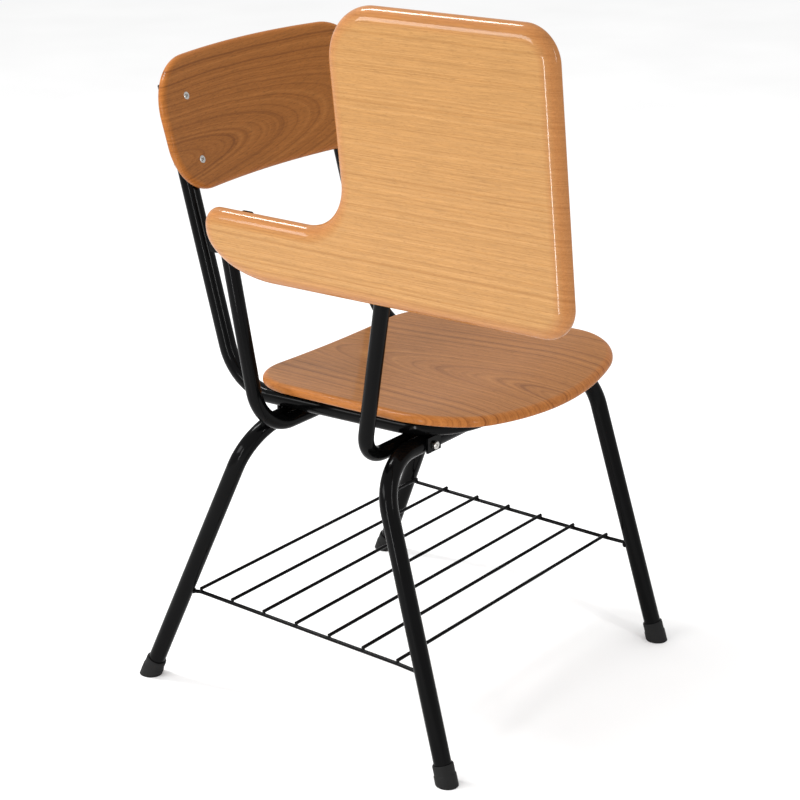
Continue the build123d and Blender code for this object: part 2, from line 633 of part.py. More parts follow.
arm_rows = (
    ("front", front_pivot, FRONT_ARM_X, front_arm_y, front_arm_z, FRONT_ARM_BEND_R),
    ("rear", rear_pivot, REAR_ARM_X, rear_arm_y, rear_arm_z, REAR_ARM_BEND_R),
)
solid_arms = []
for (end_name, pivot, corner_x, arm_y, arm_z, bend_r), bore in zip(arm_rows, pivot_bores):
    corner = Vector(corner_x, arm_y, arm_z)
    rise = (pivot - corner).normalized()
    inner = Vector(ARM_INNER_X, arm_y, arm_z)
    top = pivot + rise * ARM_TOP
    arm = bent_tube([inner, corner, top], [bend_r], ARM_R)
    with BuildPart() as drilled:
        add(arm.part)
        add(bore, mode=Mode.SUBTRACT)
    keep(drilled, f"{end_name}_arm_tube")
    with BuildPart(mode=Mode.PRIVATE) as solid_arm:
        with BuildSketch(Plane(origin=corner, z_dir=rise)):
            Circle(ARM_R)
        extrude(amount=(top - corner).length)
        add(Sphere(ARM_R, mode=Mode.PRIVATE).moved(Location(pivot)))
    solid_arms.append(solid_arm.part)

    with BuildPart() as dome:
        with BuildSketch(Plane(origin=top, z_dir=rise)):
            Circle(ARM_R - TUBE_WALL)
        extrude(amount=-DOME_NECK)
        ball = Sphere(ARM_R, mode=Mode.PRIVATE).moved(Location(pivot))
        add(split(ball, bisect_by=Plane(origin=top, z_dir=rise), keep=Keep.TOP, mode=Mode.PRIVATE))
        add(bore, mode=Mode.SUBTRACT)
    keep(dome, f"{end_name}_arm_top_plug")

    end_plug(inner, Vector(1, 0, 0), ARM_R, f"{end_name}_arm_end_plug")

    shelf_base = Plane(
        origin=at(lowered_plane, lowered_plane.to_local_coords(pivot).X, 0),
        x_dir=lowered_plane.x_dir,
        z_dir=lowered_plane.z_dir,
    )
    web_plane = Plane(
        origin=shelf_base.origin, x_dir=shelf_base.y_dir, z_dir=shelf_base.x_dir
    )
    shelf_top = LEAF_OFFSET - STOP_GAP - PAD_H
    with BuildPart() as shelf:
        with BuildSketch(shelf_base.offset(shelf_top)):
            with Locations((0, (ARM_R + SHELF_REACH) / 2)):
                Rectangle(2 * LEAF_HALF, SHELF_REACH - ARM_R)
        extrude(amount=-SHELF_THICK)
        with BuildSketch(web_plane):
            with BuildLine():
                Polyline(
                    (0, shelf_top - SHELF_THICK),
                    (SHELF_REACH - WEB_INSET, shelf_top - SHELF_THICK),
                    (ARM_R + WEB_INSET, -WEB_DEEP),
                    (0, -WEB_DEEP),
                    close=True,
                )
            make_face()
        extrude(amount=WEB_HALF, both=True)
        with BuildSketch(Plane(origin=corner, z_dir=rise)):
            Circle(ARM_R)
        extrude(amount=(pivot - corner).length + ARM_TOP, mode=Mode.SUBTRACT)
        ball = Sphere(ARM_R + SIDE_CLEAR, mode=Mode.PRIVATE).moved(Location(pivot))
        add(ball, mode=Mode.SUBTRACT)
    keep(shelf, f"{end_name}_rest_bracket")

    with BuildPart() as pad:
        with BuildSketch(shelf_base.offset(shelf_top)):
            with Locations((0, PAD_REACH)):
                Circle(PAD_R)
        extrude(amount=PAD_H)
    keep(pad, f"{end_name}_rest_pad")

# ================================================================ pivots
with BuildPart() as pivot_bolts:
    for (pivot, gap), bore in zip(pivots, pivot_bores):
        add(bore)
        with BuildSketch(across_axis(pivot + head_face(gap))):
            Circle(BOLT_HEAD_R)
        extrude(amount=BOLT_HEAD_H)
keep(pivot_bolts, "pivot_bolts")

with BuildPart() as pivot_nuts:
    for pivot, gap in pivots:
        with BuildSketch(across_axis(pivot - head_face(gap))):
            RegularPolygon(NUT_FLATS_R, 6, major_radius=False)
            Circle(BOLT_R, mode=Mode.SUBTRACT)
        extrude(amount=-NUT_H)
keep(pivot_nuts, "pivot_nuts")

with BuildPart() as pivot_spacers:
    for (pivot, gap), solid_arm in zip(pivots, solid_arms):
        for way in (-1, 1):
            with BuildSketch(across_axis(pivot + way * ARM_R / 2)):
                Circle(BOLT_HEAD_R)
                Circle(BOLT_R, mode=Mode.SUBTRACT)
            extrude(amount=way * (ARM_R / 2 + gap - SIDE_CLEAR))
        add(solid_arm, mode=Mode.SUBTRACT)
keep(pivot_spacers, "pivot_spacers")

# ================================================================ hinge leaves
leaf_plane = raised_plane.offset(LEAF_OFFSET)
leaf_screw_spots = [(FRONT_PIVOT, high) for high in FRONT_SCREW_HEIGHTS]
leaf_screw_spots += [(REAR_LEAF_STRAP, high) for high in REAR_SCREW_HEIGHTS]
leaf_screw_spots += [(REAR_LEAF_STRAP - REAR_SCREW_SHIFT, REAR_SCREW_HEIGHTS[0])]

with BuildPart(mode=Mode.PRIVATE) as leaf_bores:
    with BuildSketch(leaf_plane):
        with Locations(*leaf_screw_spots):
            Circle(LEAF_SCREW_R)
    extrude(amount=LEAF_THICK + LEAF_SCREW_DEPTH)


def hinge_leaf(pivot, gap, foot_to, strap, strap_length, name):
    """A flat plate under the board, with two ears turning on the pivot bolt."""
    ear_face = ARM_R + gap
    foot_from = pivot - ear_face - EAR_THICK
    foot_high = LEAF_FOOT + LEAF_TAIL
    with BuildPart() as leaf:
        with BuildSketch(leaf_plane):
            with Locations(((foot_from + foot_to) / 2, foot_high / 2 - LEAF_TAIL)):
                RectangleRounded(foot_to - foot_from, foot_high, LEAF_CORNER)
            with Locations((strap, strap_length / 2)):
                RectangleRounded(2 * LEAF_HALF, strap_length, LEAF_CORNER)
        extrude(amount=LEAF_THICK)
        for start in (pivot + ear_face, foot_from):
            with BuildSketch(across_axis(start)):
                with BuildLine():
                    round_end = ThreePointArc((EAR_R, 0), (0, -EAR_R), (-EAR_R, 0))
                    Polyline(
                        round_end @ 1, (-LEAF_TAIL, LEAF_OFFSET), (EAR_R, LEAF_OFFSET), round_end @ 0
                    )
                make_face()
                Circle(BOLT_R + PIVOT_CLEAR, mode=Mode.SUBTRACT)
            extrude(amount=EAR_THICK)
        add(leaf_bores.part, mode=Mode.SUBTRACT)
    keep(leaf, name)


hinge_leaf(
    FRONT_PIVOT, FRONT_EAR_GAP, FRONT_PIVOT + ARM_R + FRONT_EAR_GAP + EAR_THICK,
    FRONT_PIVOT, FRONT_LEAF_LENGTH, "front_hinge_leaf",
)
hinge_leaf(
    REAR_PIVOT, REAR_EAR_GAP, REAR_LEAF_STRAP + LEAF_HALF,
    REAR_LEAF_STRAP, REAR_LEAF_LENGTH, "rear_hinge_leaf",
)

with BuildPart() as leaf_screws:
    add(leaf_bores.part)
    with BuildSketch(leaf_plane):
        with Locations(*leaf_screw_spots):
            Circle(LEAF_HEAD_R)
    extrude(amount=-LEAF_HEAD_H)
keep(leaf_screws, "leaf_screws")

# ================================================================ writing tablet
with BuildPart() as tablet:
    with BuildSketch(leaf_plane.offset(LEAF_THICK)) as outline:
        with BuildLine():
            tail_x = TABLET_TIP + TABLET_TAIL_X_R
            tail_y = TABLET_LOW + TABLET_TAIL_Y_R
            EllipticalCenterArc(
                (tail_x, tail_y), TABLET_TAIL_X_R, TABLET_TAIL_Y_R, start_angle=180, arc_size=90
            )
            Polyline(
                (tail_x, TABLET_LOW),
                (TABLET_FRONT, TABLET_LOW),
                (TABLET_FRONT, TABLET_HIGH),
                (TABLET_WIDE_REAR, TABLET_HIGH),
                (TABLET_WIDE_REAR, TABLET_ARM_EDGE),
                (TABLET_TIP, TABLET_ARM_EDGE + TABLET_TIP_RISE),
                (TABLET_TIP, tail_y),
            )
        make_face()
        for x, y, radius in (
            (TABLET_FRONT, TABLET_LOW, TABLET_FRONT_CORNER),
            (TABLET_FRONT, TABLET_HIGH, TABLET_FRONT_CORNER),
            (TABLET_WIDE_REAR, TABLET_HIGH, TABLET_REAR_CORNER),
            (TABLET_WIDE_REAR, TABLET_ARM_EDGE, TABLET_INNER_R),
            (TABLET_TIP, TABLET_ARM_EDGE + TABLET_TIP_RISE, TABLET_TIP_R),
        ):
            fillet(outline.vertices().sort_by_distance((x, y, 0))[0], radius=radius)
    extrude(amount=TABLET_THICK)
    faces = tablet.faces().sort_by(Axis(HINGE_AT, tuple(raised_plane.z_dir)))
    fillet(faces[0].edges() + faces[-1].edges(), radius=TABLET_EDGE_R)
    add(leaf_bores.part, mode=Mode.SUBTRACT)
keep(tablet, "tablet")

# ================================================================ writing
whole = Compound(made).bounding_box()
centring = Vector(-(whole.min.X + whole.max.X) / 2, -(whole.min.Y + whole.max.Y) / 2, 0)

os.makedirs("parts", exist_ok=True)
for piece in made:
    label = piece.label
    shifted = piece.moved(Location(centring))
    shifted.label = label
    export_step(shifted, f"parts/{label}.step")

print("shift in plan", centring.X, centring.Y)
print("hinge point", Vector(*HINGE_AT) + centring, "axis", -hinge_forward)
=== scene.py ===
from math import atan, cos, pi, radians, sin, tan

import bmesh
import bpy
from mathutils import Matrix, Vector


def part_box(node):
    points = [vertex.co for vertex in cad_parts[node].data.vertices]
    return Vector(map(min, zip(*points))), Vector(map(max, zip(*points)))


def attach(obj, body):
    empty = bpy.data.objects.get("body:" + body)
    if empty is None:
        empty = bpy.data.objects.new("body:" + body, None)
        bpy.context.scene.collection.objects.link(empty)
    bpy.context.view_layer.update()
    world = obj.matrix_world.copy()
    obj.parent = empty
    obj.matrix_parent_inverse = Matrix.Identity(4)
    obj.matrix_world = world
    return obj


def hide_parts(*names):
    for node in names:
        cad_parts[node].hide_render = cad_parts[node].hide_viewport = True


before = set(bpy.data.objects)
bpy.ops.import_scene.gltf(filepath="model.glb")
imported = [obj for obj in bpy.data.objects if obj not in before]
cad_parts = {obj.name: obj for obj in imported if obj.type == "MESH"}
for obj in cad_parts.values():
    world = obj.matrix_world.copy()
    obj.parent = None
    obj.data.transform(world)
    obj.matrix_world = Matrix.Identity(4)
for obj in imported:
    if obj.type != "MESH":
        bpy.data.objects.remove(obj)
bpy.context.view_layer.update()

# ---------------------------------------------------------------- sizes, in millimetres
MM = 1000                     # millimetres in a metre
TUBE_R = 11.0
FRAME_X = 148.0               # side runs and uprights, from the middle plane
FRONT_FOOT_X, FRONT_FOOT_Y = 239.8, -238.5      # where the leg axes meet the floor
REAR_FOOT_X, REAR_FOOT_Y = 249.8, 238.5
FRONT_LEG_IN, FRONT_LEG_BACK = 0.043, 0.299     # travel per unit of height
REAR_LEG_IN, REAR_LEG_FORWARD = 0.096, 0.42
FRONT_BAR_Z, REAR_BAR_Z = 379.0, 369.5

SEAT_THICK = 12.0
SEAT_GAP = 6.0                # tubes' top to the seat's under face
SEAT_DISH_R = 3300.0
SEAT_REAR_HALF, SEAT_REAR_Y, SEAT_REAR_CORNER = 187.0, 126.0, 78.0
SEAT_FRONT_HALF, SEAT_FRONT_Y, SEAT_FRONT_CORNER = 197.0, -240.0, 100.0
SEAT_FRONT_BOW = 50.0
SEAT_ROLL_START, SEAT_ROLL_R = -140.0, 560.06

BACK_HALF, BACK_LOW, BACK_HIGH = 198.5, -70.0, 96.5
BACK_TOP_CROWN, BACK_LOW_CROWN = 10.0, 7.0
BACK_TOP_CORNER, BACK_LOW_CORNER = 72.0, 62.0
BACK_THICK, BACK_CURVE_R, BACK_LEAN = 12.0, 1200.0, 17.0
BACK_Y, BACK_Z = 233.5, 700.0
BACK_SCREW_HEIGHTS = (-28.5, 51.5)

HINGE_AT = (-248.97, -99.85, 617.75)
HINGE_TOE, HINGE_PITCH, RAISE_ANGLE = 1.9, 2.5, 94.7
TABLET_THICK = 18.0
TABLET_UNDER = 16.0           # hinge axis to the board's under face
TABLET_LOW, TABLET_FRONT = -24.0, 329.0
TABLET_HIGH_FRONT, TABLET_HIGH_REAR = 311.0, 314.0
TABLET_WIDE_REAR, TABLET_ARM_EDGE = 27.0, 55.0
TABLET_TIP, TABLET_TIP_RISE = -192.7, 3.5
TABLET_TAIL_LONG, TABLET_TAIL_DEEP = 100.7, 54.0

GUSSET_X, GUSSET_THICK, GUSSET_HEAD_H = 135.0, 3.0, 3.2
LEAF_OFFSET, LEAF_HEAD_H = 13.0, 2.2
FRONT_LEAF_X = 56.0           # row of screws in the front leaf, along the hinge axis
REAR_LEAF_XS = (-133.0, -149.0)

RACK_Z = 131.6
RACK_REAR_X, RACK_FRONT_X = 228.4, 231.4
RACK_REAR_Y, RACK_PITCH, RACK_WIRES = 162.6, 53.4, 7

# ---------------------------------------------------------------- shared frame
wire_low, wire_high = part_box("rack_cross_wire_1")
X0 = (wire_low.x + wire_high.x) / 2
Y0 = (wire_low.y + wire_high.y) / 2 - RACK_REAR_Y / MM


def C(x, y, z):
    """A point given in the chair's own frame, which faces -Y about X = 0, in the shared one."""
    return Vector((X0 + x / MM, Y0 + y / MM, z / MM))


def link(name, bm, material, body, auto=35):
    """Makes a smooth-shaded piece from bm, sharp past auto degrees, that moves with its body."""
    mesh = bpy.data.meshes.new(name)
    bmesh.ops.recalc_face_normals(bm, faces=bm.faces)
    for face in bm.faces:
        face.smooth = True
    for edge in bm.edges:
        if len(edge.link_faces) == 2 and edge.calc_face_angle() > radians(auto):
            edge.smooth = False
    bm.to_mesh(mesh)
    bm.free()
    obj = bpy.data.objects.new(name, mesh)
    bpy.context.scene.collection.objects.link(obj)
    mesh.materials.append(material)
    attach(obj, body)
    return obj


# ---------------------------------------------------------------- materials
class Nodes:
    """A material and a few helpers for wiring it."""

    def __init__(self, name):
        self.mat = bpy.data.materials.new(name)
        self.mat.use_nodes = True
        self.tree = self.mat.node_tree
        self.shader = self.tree.nodes["Principled BSDF"]
        self.coords = self.tree.nodes.new("ShaderNodeTexCoord").outputs["Object"]

    def new(self, kind, **settings):
        node = self.tree.nodes.new(kind)
        for key, value in settings.items():
            setattr(node, key, value)
        return node

    def link(self, a, b):
        self.tree.links.new(a, b)

    def mapping(self, vector, rotation=(0, 0, 0), scale=(1, 1, 1)):
        node = self.new("ShaderNodeMapping")
        node.inputs["Rotation"].default_value = rotation
        node.inputs["Scale"].default_value = scale
        self.link(vector, node.inputs["Vector"])
        return node.outputs[0]

    def noise(self, vector, detail, rough):
        node = self.new("ShaderNodeTexNoise")
        node.inputs["Scale"].default_value = 1.0
        node.inputs["Detail"].default_value = detail
        node.inputs["Roughness"].default_value = rough
        self.link(vector, node.inputs["Vector"])
        return node.outputs[0]

    def noise1(self, value, scale, detail, rough):
        node = self.new("ShaderNodeTexNoise", noise_dimensions="1D")
        node.inputs["Scale"].default_value = scale
        node.inputs["Detail"].default_value = detail
        node.inputs["Roughness"].default_value = rough
        self.link(value, node.inputs["W"])
        return node.outputs[0]

    def math(self, operation, a, b=0.0):
        node = self.new("ShaderNodeMath", operation=operation)
        for socket, value in zip(node.inputs, (a, b)):
            if hasattr(value, "links"):
                self.link(value, socket)
            else:
                socket.default_value = value
        return node.outputs[0]

    def ramp(self, value, *stops):
        node = self.new("ShaderNodeValToRGB")
        elements = node.color_ramp.elements
        while len(elements) < len(stops):
            elements.new(0.5)
        for element, (place, colour) in zip(elements, stops):
            element.position = place
            element.color = (*colour, 1)
        self.link(value, node.inputs[0])
        return node.outputs[0]

    def range(self, value, low, high, to_low=0.0, to_high=1.0):
        node = self.new("ShaderNodeMapRange")
        ends = {"From Min": low, "From Max": high, "To Min": to_low, "To Max": to_high}
        for key, number in ends.items():
            node.inputs[key].default_value = number
        self.link(value, node.inputs[0])
        return node.outputs[0]

    def mix(self, factor, a, b, blend="MIX"):
        node = self.new("ShaderNodeMix", data_type="RGBA", blend_type=blend)
        for socket, value in ((node.inputs[0], factor), (node.inputs[6], a), (node.inputs[7], b)):
            if hasattr(value, "links"):
                self.link(value, socket)
            elif isinstance(value, tuple):
                socket.default_value = (*value, 1)
            else:
                socket.default_value = value
        return node.outputs[2]

    def bump(self, height, strength, distance):
        node = self.new("ShaderNodeBump")
        node.inputs["Strength"].default_value = strength
        node.inputs["Distance"].default_value = distance
        self.link(height, node.inputs["Height"])
        self.link(node.outputs[0], self.shader.inputs["Normal"])

    def set(self, **values):
        for key, value in values.items():
            socket = self.shader.inputs[key.replace("_", " ")]
            socket.default_value = (*value, 1) if isinstance(value, tuple) else value


def wood(name, tones, edge, turn, centre, slope, depth, slant, bands, wander, coat, contrast, fleck):
    """Flat-sawn beech: nested rings cut at a slant, long fibres, short dark flecks, clear varnish.

    tones are the pale, middle and dark wood, and edge is a painted shade and light tint on the rounded
    rim, for how light falls on the roundings. turn rotates object
    coordinates so that local x runs along the grain and y across it on the face. The rings' axis
    passes centre; slope, depth and slant say how it dives along the grain and through the board.
    bands is rings per metre, wander how far they stray, contrast how soft they are."""
    pale, mid, dark = tones
    n = Nodes(name)
    local = n.mapping(n.coords, rotation=turn)
    split = n.new("ShaderNodeSeparateXYZ")
    n.link(local, split.inputs[0])
    along, across, through = split.outputs

    def streaks(scale_along, scale_across, detail, rough):
        """Noise drawn out along the grain."""
        scale = (scale_along, scale_across, scale_across)
        return n.noise(n.mapping(local, scale=scale), detail, rough)

    sway = streaks(3.2, 8.0, 2.0, 0.5)
    ripple = streaks(14.0, 50.0, 3.0, 0.55)
    a = n.math("SUBTRACT", across, centre[1])
    a = n.math("ADD", a, n.math("MULTIPLY", n.math("SUBTRACT", sway, 0.5), wander))
    a = n.math("ADD", a, n.math("MULTIPLY", n.math("SUBTRACT", ripple, 0.5), 0.12 * wander))
    b = n.math("MULTIPLY", n.math("SUBTRACT", along, centre[0]), slope)
    b = n.math("ADD", b, depth)
    b = n.math("ADD", b, n.math("MULTIPLY", through, slant))
    ring = n.math("SQRT", n.math("ADD", n.math("MULTIPLY", a, a), n.math("MULTIPLY", b, b)))
    year = n.noise1(ring, bands, 2.0, 0.5)
    fine = n.noise1(ring, bands * 3.6, 2.0, 0.6)
    tone = n.math("ADD", n.math("MULTIPLY", year, 0.55), n.math("MULTIPLY", fine, 0.45))
    tone = n.range(tone, 0.5 - contrast, 0.5 + contrast)
    colour = n.ramp(tone, (0.0, dark), (0.42, mid), (1.0, pale))
    cloud = streaks(4.0, 7.0, 2.0, 0.5)
    colour = n.mix(n.range(cloud, 0.3, 0.7, 0.0, 0.35), colour, mid)

    fibre = streaks(16.0, 480.0, 4.0, 0.65)
    hair = streaks(60.0, 1500.0, 2.0, 0.5)
    fibre_shade = n.range(fibre, 0.3, 0.7, 0.87, 1.1)
    shade = n.math("MULTIPLY", fibre_shade, n.range(hair, 0.3, 0.7, 0.93, 1.06))
    shade_rgb = n.new("ShaderNodeCombineXYZ")
    for socket in shade_rgb.inputs:
        n.link(shade, socket)
    colour = n.mix(1.0, colour, shade_rgb.outputs[0], "MULTIPLY")
    dash = n.range(streaks(150.0, 1150.0, 2.0, 0.5), 0.56, 0.68, 0.0, fleck)
    colour = n.mix(dash, colour, tuple(c * 0.5 for c in dark))
    # Painted shade and light: the rounded rim takes the edge tint, which darkens or lightens it for how
    # light falls on the roundings.
    rim = n.new("ShaderNodeAttribute", attribute_name="rim").outputs["Fac"]
    colour = n.mix(n.range(rim, 0.0, 0.7), colour, n.mix(1.0, colour, edge, "MULTIPLY"))

    n.link(colour, n.shader.inputs["Base Color"])
    n.link(n.range(fibre, 0.2, 0.8, 0.46, 0.34), n.shader.inputs["Roughness"])
    n.set(Specular_IOR_Level=0.05, Coat_Weight=coat, Coat_Roughness=0.09, Coat_IOR=1.5)
    n.bump(n.math("ADD", fibre, n.math("MULTIPLY", dash, -1.5)), 0.1, 0.0003)
    return n.mat


def grainy(name, base, rough, spec, size, bump, metal=0.0, coat=0.0, coat_rough=0.1):
    """An even surface with a fine texture, size grains per metre, in its gloss, tone and relief."""
    n = Nodes(name)
    grain = n.noise(n.mapping(n.coords, scale=(size, size, size)), 2.0, 0.5)
    broad = n.noise(n.mapping(n.coords, scale=(22.0, 22.0, 22.0)), 3.0, 0.5)
    low = tuple(c * 0.8 for c in base)
    high = tuple(min(1.0, c * 1.2) for c in base)
    n.link(n.ramp(broad, (0.3, low), (0.7, high)), n.shader.inputs["Base Color"])
    n.link(n.range(grain, 0.2, 0.8, rough * 0.86, rough * 1.14), n.shader.inputs["Roughness"])
    n.set(Specular_IOR_Level=spec, Metallic=metal, Coat_Weight=coat, Coat_Roughness=coat_rough)
    n.bump(grain, bump, 0.0001)
    return n.mat


# The tablet's and the seat's grain runs front to back, the backrest's sideways.
TABLET_WOOD = wood(
    "tablet_beech",
    tones=((0.43, 0.226, 0.079), (0.38, 0.192, 0.061), (0.30, 0.138, 0.038)),
    # edge darkens the tablet's rounded rim: painted shade.
    edge=(0.88, 0.70, 0.60), turn=(pi / 2, -pi / 2, 0.045), centre=(0.0, -0.1),
    slope=0.03, depth=0.42, slant=0.3, bands=260.0, wander=0.007,
    coat=0.45, contrast=0.2, fleck=0.25,
)
SEAT_WOOD = wood(
    "seat_beech",
    tones=((0.32, 0.136, 0.038), (0.25, 0.099, 0.026), (0.12, 0.039, 0.009)),
    # edge lightens the seat's rounded rim: painted light.
    edge=(1.25, 1.1, 0.95), turn=(0, 0, pi / 2), centre=(0.33, 0.01),
    slope=0.13, depth=-0.13, slant=0.3, bands=120.0, wander=0.022,
    coat=0.12, contrast=0.22, fleck=0.35,
)
BACK_WOOD = wood(
    "back_beech",
    tones=((0.30, 0.114, 0.027), (0.24, 0.085, 0.018), (0.15, 0.050, 0.011)),
    # edge lightens the backrest's rounded rim: painted light.
    edge=(1.2, 1.15, 1.1), turn=(-1.274, 0, -0.08), centre=(-0.172, 0.743),
    slope=0.17, depth=0.0207, slant=0.3, bands=130.0, wander=0.018,
    coat=0.12, contrast=0.22, fleck=0.35,
)
PAINT = grainy(
    "black_powder_coat", (0.0015, 0.0015, 0.0016), 0.22, 0.02, 700.0, 0.03,
    coat=0.1, coat_rough=0.07,
)
RUBBER = grainy("black_rubber", (0.008, 0.008, 0.008), 0.6, 0.12, 1400.0, 0.25)
PLASTIC = grainy("black_plastic", (0.007, 0.007, 0.007), 0.42, 0.12, 1800.0, 0.15)
ZINC = grainy("zinc_plate", (0.45, 0.44, 0.42), 0.26, 0.5, 500.0, 0.08, metal=1.0)

# ---------------------------------------------------------------- outlines and slabs
SAME_POINT = 0.05             # closer points of an outline are one
FACE_LIP = 1.5                # flat ring inside each rounding, which keeps its shading clean


def turned(v, a):
    """A plane vector turned by an angle."""
    return Vector((v.x * cos(a) - v.y * sin(a), v.x * sin(a) + v.y * cos(a)))


def rounded(corners, step=3.0):
    """A closed outline through corners given as (x, y, radius), each turned by a tangent arc."""
    points = []
    count = len(corners)
    for i, (x, y, radius) in enumerate(corners):
        here = Vector((x, y))
        before = (Vector(corners[i - 1][:2]) - here).normalized()
        after = (Vector(corners[(i + 1) % count][:2]) - here).normalized()
        if radius == 0:
            points.append(here)
            continue
        half = before.angle(after) / 2
        reach = radius / tan(half)
        middle = here + (before + after).normalized() * (radius / sin(half))
        start = here + before * reach - middle
        turn = start.angle_signed(here + after * reach - middle)
        pieces = max(6, int(abs(turn) * radius / step))
        points += [middle + turned(start, -turn * k / pieces) for k in range(pieces + 1)]
    return points


def spaced(points, longest=9.0):
    """The same closed outline with its long runs divided and doubled points left out."""
    out = []
    for i, p in enumerate(points):
        q = points[(i + 1) % len(points)]
        pieces = max(1, int((q - p).length / longest))
        out += [p.lerp(q, k / pieces) for k in range(pieces) if (q - p).length > SAME_POINT]
    return out


def inset(points, amount):
    """The outline moved inwards; it runs anticlockwise."""
    count = len(points)
    moved = []
    for i, p in enumerate(points):
        run = (points[(i + 1) % count] - points[i - 1]).normalized()
        moved.append(p + Vector((-run.y, run.x)) * amount)
    return moved


def anticlockwise(points):
    """The same outline, run so that its inside is on the left."""
    area = sum(a.x * b.y - b.x * a.y for a, b in zip(points, points[1:] + points[:1]))
    return points if area > 0 else points[::-1]


def slab(outline, rim, low, high, place, rings):
    """A panel: rim lists (inset, share of thickness) from the under face to the top one.

    low and high give the two faces' heights at a point; rings are the scales of the inner loops,
    or none for a flat face closed in one piece. The attribute rim is 1 at the outline, 0 on the faces."""
    bm = bmesh.new()
    outline = anticlockwise(outline)
    middle = sum(outline, Vector((0, 0))) / len(outline)
    widest = max(amount for amount, share in rim)
    rim_layer = bm.verts.layers.float.new("rim")

    def loop(points, share, edge=0.0):
        made = []
        for p in points:
            below, above = low(p.x, p.y), high(p.x, p.y)
            vert = bm.verts.new(place(p.x, p.y, below + share * (above - below)))
            vert[rim_layer] = edge
            made.append(vert)
        return made

    def skin(one, two):
        for i in range(len(one)):
            j = (i + 1) % len(one)
            bm.faces.new((one[i], one[j], two[j], two[i]))

    loops = [loop(inset(outline, amount), share, 1 - amount / widest) for amount, share in rim]
    for one, two in zip(loops, loops[1:]):
        skin(one, two)
    for (amount, share), edge in ((rim[0], loops[0]), (rim[-1], loops[-1])):
        base = inset(outline, amount)
        last = edge
        for scale in rings:
            ring = loop([middle + (p - middle) * scale for p in base], share)
            skin(last, ring) if share > 0.5 else skin(ring, last)
            last = ring
        bm.faces.new(last if share > 0.5 else last[::-1])
    return bm


def rim_profile(top_in, top_deep, low_in, low_deep, thick, steps=9):
    """Quarter ellipses at the top and bottom of a panel's edge."""
    rim = [(low_in + FACE_LIP, 0.0)]
    for k in range(steps + 1):
        a = pi / 2 * k / steps
        rim.append((low_in * (1 - sin(a)), low_deep * (1 - cos(a)) / thick))
    for k in range(steps + 1):
        a = pi / 2 * k / steps
        rim.append((top_in * (1 - cos(a)), 1 - top_deep * (1 - sin(a)) / thick))
    rim.append((top_in + FACE_LIP, 1.0))
    return rim


def inner_rings(count):
    """Scales of evenly spaced loops from near the rim to near the middle."""
    return [1 - k / count for k in range(1, count)]


# ---------------------------------------------------------------- writing tablet
TABLET_FRONT_CORNER, TABLET_REAR_CORNER = 40.0, 66.0
TABLET_INNER_R, TABLET_TIP_R = 60.0, 24.0
TAIL_PIECES = 30

toe, pitch, raised = radians(HINGE_TOE), radians(HINGE_PITCH), radians(RAISE_ANGLE)
U = Vector((-sin(toe), -cos(toe), tan(pitch))).normalized()
inboard = Vector((0, 0, 1)).cross(U).normalized()
up = U.cross(inboard)
W = up * cos(raised) - inboard * sin(raised)
V = W.cross(U)
PIVOT = C(*HINGE_AT)


def board(u, v, w):
    """u along the hinge axis to the front, v across the raised board, w out of its face."""
    return PIVOT + (U * u + V * v + W * w) / MM


tail_x, tail_y = TABLET_TIP + TABLET_TAIL_LONG, TABLET_LOW + TABLET_TAIL_DEEP
outline = rounded([
    (TABLET_FRONT, TABLET_LOW, TABLET_FRONT_CORNER),
    (TABLET_FRONT, TABLET_HIGH_FRONT, TABLET_FRONT_CORNER),
    (TABLET_WIDE_REAR, TABLET_HIGH_REAR, TABLET_REAR_CORNER),
    (TABLET_WIDE_REAR, TABLET_ARM_EDGE, TABLET_INNER_R),
    (TABLET_TIP, TABLET_ARM_EDGE + TABLET_TIP_RISE, TABLET_TIP_R),
    (TABLET_TIP, tail_y, 0.0),
    (tail_x, TABLET_LOW, 0.0),
])[:-2]
for k in range(TAIL_PIECES + 1):
    a = pi / 2 * k / TAIL_PIECES
    outline.append(Vector((tail_x - TABLET_TAIL_LONG * cos(a), tail_y - TABLET_TAIL_DEEP * sin(a))))
tablet = link(
    "tablet_board_wood",
    slab(
        spaced(outline), rim_profile(18.0, 12.5, 7.0, 5.0, TABLET_THICK, 14),
        lambda u, v: TABLET_UNDER, lambda u, v: TABLET_UNDER + TABLET_THICK, board, (),
    ),
    TABLET_WOOD,
    "tablet_board",
)
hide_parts("tablet")

# ---------------------------------------------------------------- seat
bar_front_y = FRONT_FOOT_Y + FRONT_LEG_BACK * FRONT_BAR_Z
bar_rear_y = REAR_FOOT_Y - REAR_LEG_FORWARD * REAR_BAR_Z
run_slope = (FRONT_BAR_Z - REAR_BAR_Z) / (bar_front_y - bar_rear_y)
tilt = atan(run_slope)
# The side runs rest on the bars, and the seat is measured from the runs' top.
frame_top = FRONT_BAR_Z + 2 * TUBE_R / cos(tilt) - run_slope * bar_front_y + TUBE_R / cos(tilt)


def seat_place(x, y, h):
    return C(x, y * cos(tilt) - h * sin(tilt), frame_top + y * sin(tilt) + h * cos(tilt))


def sagitta(radius, x):
    """How far an arc has left its tangent at a distance x along it."""
    return radius - (radius**2 - x**2) ** 0.5


def seat_shape(x, y):
    """Height of the seat's under face: hollow from side to side, falling away at the front."""
    roll = sagitta(SEAT_ROLL_R, max(0.0, SEAT_ROLL_START - y))
    return SEAT_GAP + sagitta(SEAT_DISH_R, x) - roll


